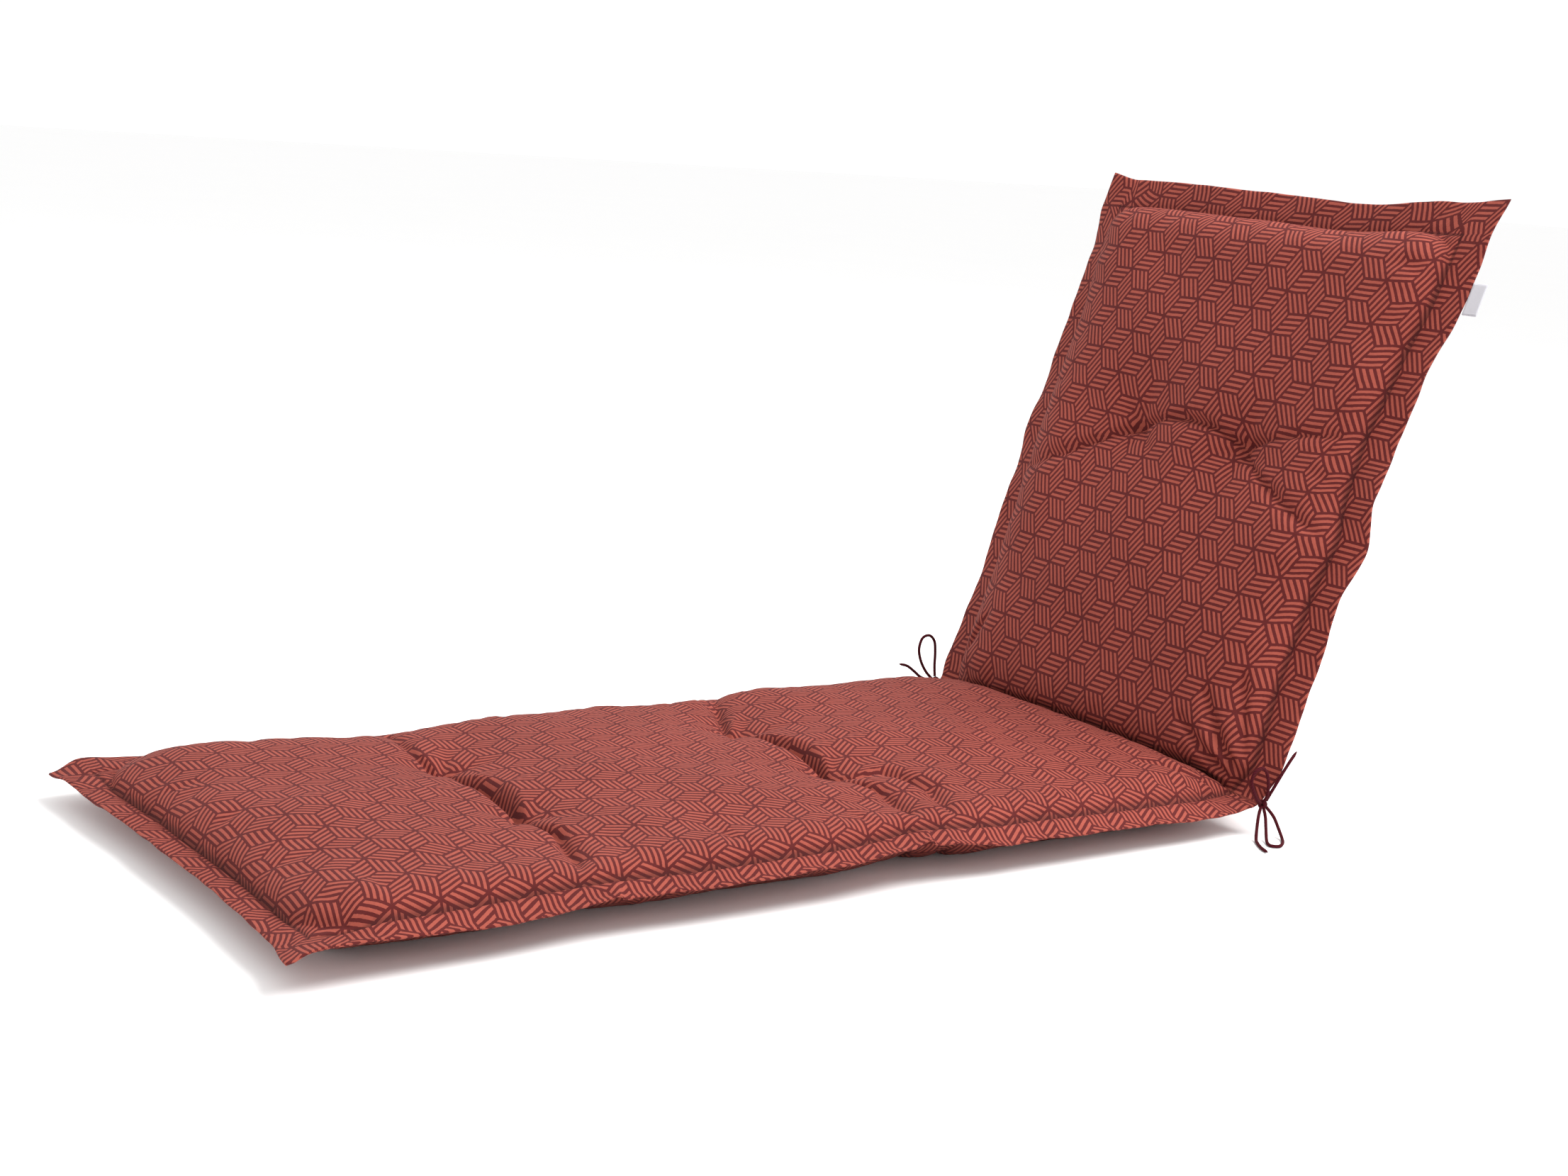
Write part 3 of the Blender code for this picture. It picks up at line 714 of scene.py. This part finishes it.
def gathered(chance, s, y, side_strengths=(1.0, 1.0), end_strengths=(1.0, 1.0)):
    """How deep the cloth is gathered along the side seams and along the foot's and the head's seam."""
    inward, end, *_ = seam_distances(s, y)
    depth = 0.0
    for seam, along, from_seam, parts, strengths in (
        (SIDE_SEAM, s, inward, (y < CENTRE_Y, y >= CENTRE_Y), side_strengths),
        (END_SEAM, y, end, (s < NEAR_FOOT, s > NEAR_HEAD), end_strengths),
    ):
        for part, strength in zip(parts, strengths):
            gathers = seam_gathers(chance, *seam, strength)
            depth = depth + gather_relief(along, np.where(part, from_seam, -1.0), gathers)
    return depth


def front_height(s, y, chance, relief=1.0):
    """Height of the front cloth off the middle of the border. relief takes away its tufts and small folds."""
    inward, end, hinge, share, on_seat = seam_distances(s, y)
    base = BORDER_THICKNESS / 2
    crown = 1 - CROWN_FALL + CROWN_FALL * np.cos(math.pi / 2 * np.clip(share, 0, 1))
    rounder = (y < CENTRE_Y) * ramp(s, *ROUNDING_STARTS) * (1 - ramp(s, *ROUNDING_ENDS))
    reach = SIDE_REACH + NEAR_ROUNDING * rounder
    side = stand_up((inward, reach))
    end_reach = np.where(on_seat, FOOT_REACH, HEAD_REACH)
    hinge_reach = np.where(on_seat, SEAT_HINGE_REACH, BACK_HINGE_REACH)
    edge_rise = stand_up((inward, reach), (end, end_reach))
    rise = FRONT_RISE * (1 + NEAR_FULLER * rounder) * bay_height(s) * crown
    height = base + rise * edge_rise * stand_up((hinge, hinge_reach))
    height -= tuft_pull(s, y) * side * (TUFTS_LEFT + (1 - TUFTS_LEFT) * relief)
    height = np.maximum(height, base + HINGE_RISE * side * stand_up((end, end_reach)))
    inside = smooth_step(np.minimum(inward, end) / CALM_REACH) * relief
    calm = inside * smooth_step(hinge / CALM_REACH)
    height += loose_swell(chance, s, y) * calm
    height -= fold_lines(s, y) * calm
    height -= tuft_rays(chance, s, y, 1.0) * calm
    height -= gathered(chance, s, y, SIDE_GATHERS, END_GATHERS) * calm
    for part in (s < SEAT_LENGTH, s >= SEAT_LENGTH):
        gathers = seam_gathers(chance, *HINGE_SEAM, HINGE_GATHERS)
        height -= gather_relief(y, np.where(part, hinge, -1.0), gathers) * inside
    height = np.maximum(height, base * np.where(np.minimum(inward, end) > 0, 1.0, 0.0))
    on_border = (inward <= 0) | (end <= 0)
    height = np.where(on_border, base, height)
    height = height - SEAM_GROOVE[0] * trough(np.minimum(inward, end), SEAM_GROOVE[1])
    return np.minimum(height, FOLD_SLOPE * (hinge + HINGE_SETBACK) - HINGE_CLEARANCE)


def rear_height(s, y, chance, relief=1.0):
    """Depth of the rear cloth off the middle of the border, a positive number, as front_height."""
    inward, end, hinge, _, _ = seam_distances(s, y)
    base = BORDER_THICKNESS / 2
    side = stand_up((inward, SIDE_REACH))
    rise = stand_up((inward, SIDE_REACH), (end, FOOT_REACH)) * stand_up((hinge, REAR_HINGE_REACH))
    pull = REAR_TUFT_SHARE * tuft_pull(s, y) * side * (TUFTS_LEFT + (1 - TUFTS_LEFT) * relief)
    height = base + REAR_RISE * rise - pull
    height = np.maximum(height, base + HINGE_RISE * side * stand_up((end, FOOT_REACH)))
    inside = smooth_step(np.minimum(inward, end) / CALM_REACH) * relief
    calm = inside * smooth_step(hinge / CALM_REACH)
    height += loose_swell(chance, s, y) * calm
    height -= fold_lines(s, y) * REAR_LINES * calm
    height -= tuft_rays(chance, s, y, REAR_RAYS) * calm
    height -= gathered(chance, s, y) * calm
    height = np.maximum(height, base)
    return np.where((inward <= 0) | (end <= 0), base, height)


def border_shape(s, y, chance):
    """The lie of the border: its lift, its ripples, and the two pleats in the near side."""
    inward, end, *_ = seam_distances(s, y)
    out = np.clip(-np.minimum(inward, end) / BORDER_WIDTH, 0, 1)
    lift = border_lift(s, y)
    for _ in range(RIPPLE_COUNT):
        pitch, start = chance.uniform(*RIPPLE_PITCH), chance.uniform(0, math.tau)
        for along, across, height in RIPPLES:
            wave = (along * s + across * y) * math.tau / pitch + start
            lift = lift + np.sin(wave) * out**1.5 * height
    for place, height, width in PLEATS:
        off = s - place - PLEAT_LEAN * (y + 0.25)
        ridge = np.where(off < 0, trough(off, width), trough(off, width * PLEAT_STEEPER))
        lift = lift + ridge * height * out**0.7 * (y < 0)
    return lift


def eased_run(start, end, cells):
    """Stations from start to just before end, closer together at both ends."""
    steps = np.arange(cells) / cells
    return start + (end - start) * (steps - EASE * np.sin(2 * math.pi * steps) / (2 * math.pi))


def length_stations():
    """Every s of the mesh, from the foot's edge to the head's edge."""
    rows = [row[0] for row in TUFT_ROWS]
    lines = (
        BORDER_WIDTH, rows[0], rows[1], SEAT_LENGTH - HINGE_ARC / 2, SEAT_LENGTH + HINGE_ARC / 2, rows[2],
        CLOTH_LENGTH - BORDER_WIDTH,
    )
    runs = [np.array(BORDER_STATIONS[:-1])]
    runs += [eased_run(start, end, cells) for start, end, cells in zip(lines, lines[1:], BAY_CELLS)]
    return np.concatenate(runs + [CLOTH_LENGTH - np.array(BORDER_STATIONS[::-1])])


def cloth_grid():
    """s and y of every point of a face, rows along the cloth and columns from near to far."""
    stations = length_stations()
    near, far = seam_y(stations, -1), seam_y(stations, 1)
    near_border = near[:, None] - BORDER_WIDTH + np.array(BORDER_STATIONS[:-1])
    far_border = far[:, None] + BORDER_WIDTH - np.array(BORDER_STATIONS[::-1])
    shares = eased_run(0.0, 1.0, PAD_CELLS)
    pad = near[:, None] + (far - near)[:, None] * shares
    y = np.concatenate((near_border, pad, far_border), axis=1)
    return np.repeat(stations[:, None], y.shape[1], axis=1), y


def cloth_lengths(points):
    """How far each point lies along the cloth itself: towards the near side, and from the hinge to the head.

    The fold at the hinge and the back's row of tufts each take up a little cloth, and the seat's print lies
    closer than the back's."""
    across = np.linalg.norm(np.diff(points, axis=1), axis=2)
    across = np.concatenate((np.zeros((len(points), 1)), np.cumsum(across, axis=1)), axis=1)
    middle = points.shape[1] // 2
    across = across[:, middle : middle + 1] - across
    along = np.linalg.norm(np.diff(points, axis=0), axis=2)
    along = np.concatenate((np.zeros((1, points.shape[1])), np.cumsum(along, axis=0)), axis=0)
    hinge_row = np.searchsorted(length_stations(), SEAT_LENGTH)
    along = along - along[hinge_row : hinge_row + 1]
    past_row = smooth_step((along - BACK_ROW_TAKES[0]) / BACK_ROW_TAKES[1])
    on_seat, on_back = along * SEAT_CLOSER - HINGE_TAKES, along + BACK_ROW_TAKES[2] * past_row
    return across, np.where(along < 0, on_seat, on_back)


def edge_rounding(s, y):
    """0 at the cut edge of the border and 1 where it has its full thickness."""
    inward, end, *_ = seam_distances(s, y)
    from_edge = BORDER_WIDTH + np.minimum(inward, end)
    return np.sqrt(np.clip(1 - (1 - np.clip(from_edge / 0.0022, 0, 1)) ** 2, 0, 1))


def make_cushion(material):
    """Front and rear cloth as one closed mesh, with the lengths along the smooth cloth as its UVs."""
    chance = random.Random(17)
    s, y = cloth_grid()
    lift = border_shape(s, y, chance)
    rounding = edge_rounding(s, y)
    place = drawn_in(s, y), let_out(s, y)
    front = bent(*place, lift + front_height(s, y, chance) * rounding)
    rear = bent(*place, lift - rear_height(s, y, chance) * rounding)
    for face in (front, rear):
        face[..., 2] = np.maximum(face[..., 2], 0.0)
    rows, columns = s.shape
    front_index = np.arange(rows * columns).reshape(rows, columns)
    rear_index = front_index.copy()
    inner = rows - 2, columns - 2
    rear_index[1:-1, 1:-1] = rows * columns + np.arange(inner[0] * inner[1]).reshape(inner)
    points = np.concatenate((front.reshape(-1, 3), rear[1:-1, 1:-1].reshape(-1, 3)))

    def quads(grid):
        return np.stack((grid[:-1, :-1], grid[1:, :-1], grid[1:, 1:], grid[:-1, 1:]), axis=-1).reshape(-1, 4)

    faces = np.concatenate((quads(front_index), quads(rear_index)[:, ::-1]))
    smooth_front = bent(*place, front_height(s, y, chance, 0.0))
    smooth_rear = bent(*place, -rear_height(s, y, chance, 0.0))
    inward, end, *_ = seam_distances(s, y)
    seam_places = np.stack((np.minimum(inward, end), np.where(inward < end, s, y)), axis=-1)
    layers = {"cloth": [], "seams": []}
    for face, order in ((smooth_front, slice(None)), (smooth_rear, slice(None, None, -1))):
        cloth = np.stack(cloth_lengths(face), axis=-1)
        for name, places in (("cloth", cloth), ("seams", seam_places)):
            flat = places.reshape(-1, 2)
            layers[name].append(flat[quads(front_index)[:, order]])
    piece = link_mesh("cushion_cover", points.tolist(), faces.tolist(), material)
    for name, halves in layers.items():
        layer = piece.data.uv_layers.new(name=name)
        layer.data.foreach_set("uv", np.concatenate(halves).ravel())
    return piece


# The print: tumbling blocks, each of a hexagon's three lozenges filled with four stripes along its own side
PRINT_ALONG = 0.0529
PRINT_ACROSS = 0.0880
PRINT_SIDE = PRINT_ALONG / math.sqrt(3)
PRINT_SQUEEZE = PRINT_ACROSS / (math.sqrt(3) * PRINT_ALONG)
PRINT_SHIFT = (0.0243, -0.0179)
STRIPE_PITCH = 0.25
STRIPE_HALF = 0.058
STRIPE_SOFT = 0.008
STRIPE_INSET = 0.060
INK_WOBBLE = 0.0007
THREAD_PITCH = 0.0011
GROUND_COLOUR = (0.108, 0.0135, 0.0128)
GROUND_DEEP = (0.095, 0.0114, 0.0110)
STRIPE_COLOUR = (0.375, 0.082, 0.056)
STRIPE_FADED = (0.335, 0.072, 0.049)
THREAD_SHADE = (0.07, 0.012, 0.012)
SEAM_GROOVE_SHADE = (0.035, 0.006, 0.006)
# painted shade for the groove along each seam, not a colour of the cloth
STITCH_COLOUR = (0.12, 0.018, 0.020)
STITCHES_OUT = 0.0016
STITCH_LENGTH = 0.0045
STITCH_WIDTH = 0.0007


def lattice_place(value, period, shift):
    """A coordinate measured from the nearest lattice line."""
    return ((value * (1 / period) + (shift / period + 0.5)).math("FRACT") - 0.5) * period


def print_mask(across, along):
    """1 on the stripes of the print and 0 on its ground."""
    spots = []
    for half in (0.0, 0.5):
        x = lattice_place(across, PRINT_ACROSS, PRINT_SHIFT[0] + half * PRINT_ACROSS) * (1 / PRINT_SQUEEZE)
        y = lattice_place(along, PRINT_ALONG, PRINT_SHIFT[1] + half * PRINT_ALONG)
        spots.append((x, y, x * x + y * y))
    (x0, y0, r0), (x1, y1, r1) = spots
    first = r0.math("LESS_THAN", r1)
    x, y = x1 + (x0 - x1) * first, y1 + (y0 - y1) * first
    scale = 1 / (math.sin(math.radians(120)) * PRINT_SIDE)
    heights = []
    for turn in range(3):
        angle = math.radians(120 * turn)
        heights.append(x * (-math.sin(angle) * scale) + y * (math.cos(angle) * scale))
    mask = 0.0
    for turn in range(3):
        b, a = heights[turn], heights[(turn + 1) % 3] * -1.0
        after_start = b.between(STRIPE_INSET, STRIPE_INSET + STRIPE_SOFT)
        before_end = b.between(1 - STRIPE_INSET + STRIPE_SOFT, 1 - STRIPE_INSET)
        position = ((a - 0.5) * (1 / STRIPE_PITCH)).math("FRACT")
        from_line = (position - 0.5).math("ABSOLUTE") * STRIPE_PITCH
        stripe = from_line.between(STRIPE_HALF + STRIPE_SOFT, STRIPE_HALF)
        outer = 2 * STRIPE_PITCH
        inside_a = (a - 0.5).math("ABSOLUTE").between(outer + 0.01, outer)
        mask = stripe * after_start * before_end * inside_a + mask
    return mask


cloth_material, cloth_wires, cloth_shader = new_material(
    "printed_cotton", Sheen_Weight=0.02, Sheen_Roughness=0.4, Specular_IOR_Level=0.14,
)
cloth_place = cloth_wires.node("ShaderNodeUVMap", {"uv_map": "cloth"})
wobble = cloth_wires.node("ShaderNodeTexNoise", (), {"Vector": cloth_place, "Scale": 420.0, "Detail": 2.0}, 1)
wobble = cloth_wires.node("ShaderNodeVectorMath", {"operation": "SUBTRACT"}, {0: wobble, 1: (0.5, 0.5, 0.5)})
wobble = cloth_wires.node("ShaderNodeVectorMath", {"operation": "SCALE"}, {0: wobble, "Scale": INK_WOBBLE})
ink_place = cloth_wires.node("ShaderNodeVectorMath", {"operation": "ADD"}, {0: cloth_place, 1: wobble})
ink_across = cloth_wires.node("ShaderNodeSeparateXYZ", (), {0: ink_place})
ink_along = cloth_wires.node("ShaderNodeSeparateXYZ", (), {0: ink_place}, 1)
mask = print_mask(ink_across, ink_along)
across = cloth_wires.node("ShaderNodeSeparateXYZ", (), {0: cloth_place})
along = cloth_wires.node("ShaderNodeSeparateXYZ", (), {0: cloth_place}, 1)
warp = (across * (2 * math.pi / THREAD_PITCH)).math("SINE")
weft = (along * (2 * math.pi / THREAD_PITCH)).math("SINE")
threads = warp * weft
slub = cloth_wires.noise(cloth_place, 260.0, 3.0)
fade = cloth_wires.noise(cloth_place, 9.0, 3.0)
ground = cloth_wires.mix(fade.between(0.3, 0.7), GROUND_DEEP, GROUND_COLOUR)
stripes = cloth_wires.mix((fade * 0.5 + slub * 0.5).between(0.35, 0.65), STRIPE_FADED, STRIPE_COLOUR)
cloth_colour = cloth_wires.mix(mask, ground, stripes)
cloth_colour = cloth_wires.mix((threads * 0.5 + 0.5) * 0.16, cloth_colour, THREAD_SHADE)
seam_place = cloth_wires.node("ShaderNodeUVMap", {"uv_map": "seams"})
seam_in = cloth_wires.node("ShaderNodeSeparateXYZ", (), {0: seam_place})
seam_along = cloth_wires.node("ShaderNodeSeparateXYZ", (), {0: seam_place}, 1)
seam_line = (seam_in + STITCHES_OUT).math("ABSOLUTE").between(STITCH_WIDTH * 1.6, STITCH_WIDTH * 0.6)
stitch_on = ((seam_along * (1 / STITCH_LENGTH)).math("FRACT") - 0.5).math("ABSOLUTE").between(0.42, 0.34)
stitches = seam_line * stitch_on
# Painted shade: the cloth is painted darker within about 2.6 mm of each seam, standing in for the shade in
# the seam's groove.
painted_seam_shade = seam_in.math("ABSOLUTE").between(0.0026, 0.0004)
cloth_colour = cloth_wires.mix(painted_seam_shade * 0.55, cloth_colour, SEAM_GROOVE_SHADE)
cloth_colour = cloth_wires.mix(stitches * 0.5, cloth_colour, STITCH_COLOUR)
crumple = cloth_wires.noise(cloth_place, 34.0, 4.0)
cloth_height = threads * 0.10 + slub * 0.22 + crumple * 1.6 + stitches * 0.8 - seam_line * 0.6 + mask * 0.05
dress(cloth_wires, cloth_shader, cloth_colour, cloth_height, 0.0011, slub * 0.12 + 0.70)

cushion = make_cushion(cloth_material)
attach(cushion, "root")
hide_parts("cushion")

# Side tag: a short length of pale satin tape folded in half, its two cut ends caught in the near edge of the
# back. Its fold stands off the edge and it carries no lettering.
TAG_S = (1.720, 1.757)
TAG_STAND = 0.019
TAG_TAPE = 0.0007
TAG_OPENING = 0.0007
TAG_ROWS = 16
TAG_CURL = 0.0009
TAG_PALE, TAG_GREY = (0.62, 0.61, 0.65), (0.50, 0.49, 0.54)


def make_side_tag(material):
    """The folded tape: an outer and an inner skin round the fold, swept along the edge with a soft curl."""
    middle_s = (TAG_S[0] + TAG_S[1]) / 2
    edge_y = min(float(along_table(EDGES, s, 1)) for s in (*TAG_S, middle_s)) - GAP
    lift = float(along_table(EDGES, middle_s, 3))
    outer, inner = TAG_TAPE + TAG_OPENING / 2, TAG_OPENING / 2
    fold = edge_y - TAG_STAND + outer
    leg = np.linspace(0.0, 1.0, 9)
    turns = np.linspace(math.pi / 2, 3 * math.pi / 2, 9)
    skins = []
    for radius in (outer, inner):
        out_leg = [(edge_y + (fold - edge_y) * t, radius) for t in leg[:-1]]
        round_fold = [(fold + radius * math.cos(a), radius * math.sin(a)) for a in turns]
        back_leg = [(fold + (edge_y - fold) * t, -radius) for t in leg[1:]]
        skins.append(out_leg + round_fold + back_leg)
    count = len(skins[0])
    points, uvs = [], []
    legs = np.linalg.norm(np.diff(np.array(skins[0]), axis=0), axis=1)
    travel = np.concatenate(((0.0,), np.cumsum(legs)))
    for row in range(TAG_ROWS + 1):
        share = row / TAG_ROWS
        s = TAG_S[0] + (TAG_S[1] - TAG_S[0]) * share
        for skin in skins:
            for index, (y, off) in enumerate(skin):
                stand = (edge_y - y) / TAG_STAND
                curl = TAG_CURL * stand**2 * math.sin(2.2 * share + 0.5)
                points.append(bent(np.array(s), np.array(y), np.array(lift + off + curl)))
                uvs.append((travel[index], share * (TAG_S[1] - TAG_S[0])))
    faces = []
    for row in range(TAG_ROWS):
        low, high = row * 2 * count, (row + 1) * 2 * count
        for index in range(count - 1):
            faces.append((low + index, low + index + 1, high + index + 1, high + index))
            start = low + count + index
            faces.append((start + 1, start, start + 2 * count, start + 2 * count + 1))
        faces.append((low, high, high + count, low + count))
        faces.append((high + count - 1, low + count - 1, low + 2 * count - 1, high + 2 * count - 1))
    for base, order in ((0, -1), (TAG_ROWS * 2 * count, 1)):
        for index in range(count - 1):
            quad = (base + index, base + index + 1, base + count + index + 1, base + count + index)
            faces.append(quad[::order])
    piece = link_mesh("side_tag_tape", points, faces, material)
    set_uvs(piece, "tape", [[uvs[vertex] for vertex in face] for face in faces])
    return piece


tag_material, tag_wires, tag_shader = new_material("tag_satin_tape", Roughness=0.45, Sheen_Weight=0.15)
tag_place = tag_wires.node("ShaderNodeUVMap", {"uv_map": "tape"})
tag_across = tag_wires.node("ShaderNodeSeparateXYZ", (), {0: tag_place})
tag_along = tag_wires.node("ShaderNodeSeparateXYZ", (), {0: tag_place}, 1)
satin = ((tag_across * 2600.0 + tag_along * 900.0) * 2 * math.pi).math("SINE")
selvedge = (tag_along - (TAG_S[1] - TAG_S[0]) / 2).math("ABSOLUTE").between(0.0165, 0.0172)
tag_tone = tag_wires.noise(tag_place, 120.0, 3.0)
tag_colour = tag_wires.mix(tag_tone * 0.5 + selvedge * 0.3, TAG_PALE, TAG_GREY)
dress(tag_wires, tag_shader, tag_colour, satin * 0.3 + tag_tone + selvedge * 0.8, 0.00025)
side_tag = make_side_tag(tag_material)
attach(side_tag, "root")
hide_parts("side_tag")

# Studio: a pale seamless floor, an even white sky and three soft lamps. The key is high over the head end, so
# the seat is bright, the front of the back is in soft shade and its near edge catches the light.
FLOOR_SIZE = 60.0
FLOOR_COLOUR = (0.97, 0.968, 0.966)
SKY_COLOUR = (1.0, 1.0, 1.0)
SKY_STRENGTH = 1.02

floor_material, floor_wires, floor_shader = new_material("studio_floor", Roughness=0.85)
floor_tone = floor_wires.noise(floor_wires.node("ShaderNodeTexCoord", (), (), 3), 1.5, 2.0)
floor_colour = floor_wires.mix(floor_tone, FLOOR_COLOUR, tuple(0.985 * part for part in FLOOR_COLOUR))
dress(floor_wires, floor_shader, floor_colour, floor_tone, 0.0001)
half_floor = FLOOR_SIZE / 2
floor_corners = [(-half_floor, -half_floor, 0), (half_floor, -half_floor, 0), (half_floor, half_floor, 0)]
floor_corners.append((-half_floor, half_floor, 0))
floor = link_mesh("studio_floor", floor_corners, [(0, 1, 2, 3)], floor_material)
floor.location.z = -0.0002

world = bpy.data.worlds.new("studio_sky")
world.use_nodes = True
world.node_tree.nodes["Background"].inputs["Color"].default_value = (*SKY_COLOUR, 1.0)
world.node_tree.nodes["Background"].inputs["Strength"].default_value = SKY_STRENGTH
bpy.context.scene.world = world

LAMPS = {
    # name: place, aim, width, power
    "key_lamp": ((1.5, -1.1, 3.2), (0.0, 0.0, 0.1), 2.6, 160.0),
    "near_lamp": ((1.6, -3.0, 1.6), (0.5, 0.0, 0.4), 1.6, 11.0),
    "foot_lamp": ((-2.4, 0.4, 0.5), (-0.7, 0.0, 0.05), 0.9, 6.0),
}
for name, (place, aim, width, power) in LAMPS.items():
    lamp_data = bpy.data.lights.new(name, "AREA")
    lamp_data.shape = "DISK"
    lamp_data.size = width
    lamp_data.energy = power
    lamp = bpy.data.objects.new(name, lamp_data)
    lamp.location = place
    lamp.rotation_euler = (Vector(aim) - Vector(place)).to_track_quat("-Z", "Y").to_euler()
    bpy.context.scene.collection.objects.link(lamp)

bpy.context.scene.view_settings.view_transform = "Standard"
bpy.context.scene.view_settings.look = "None"
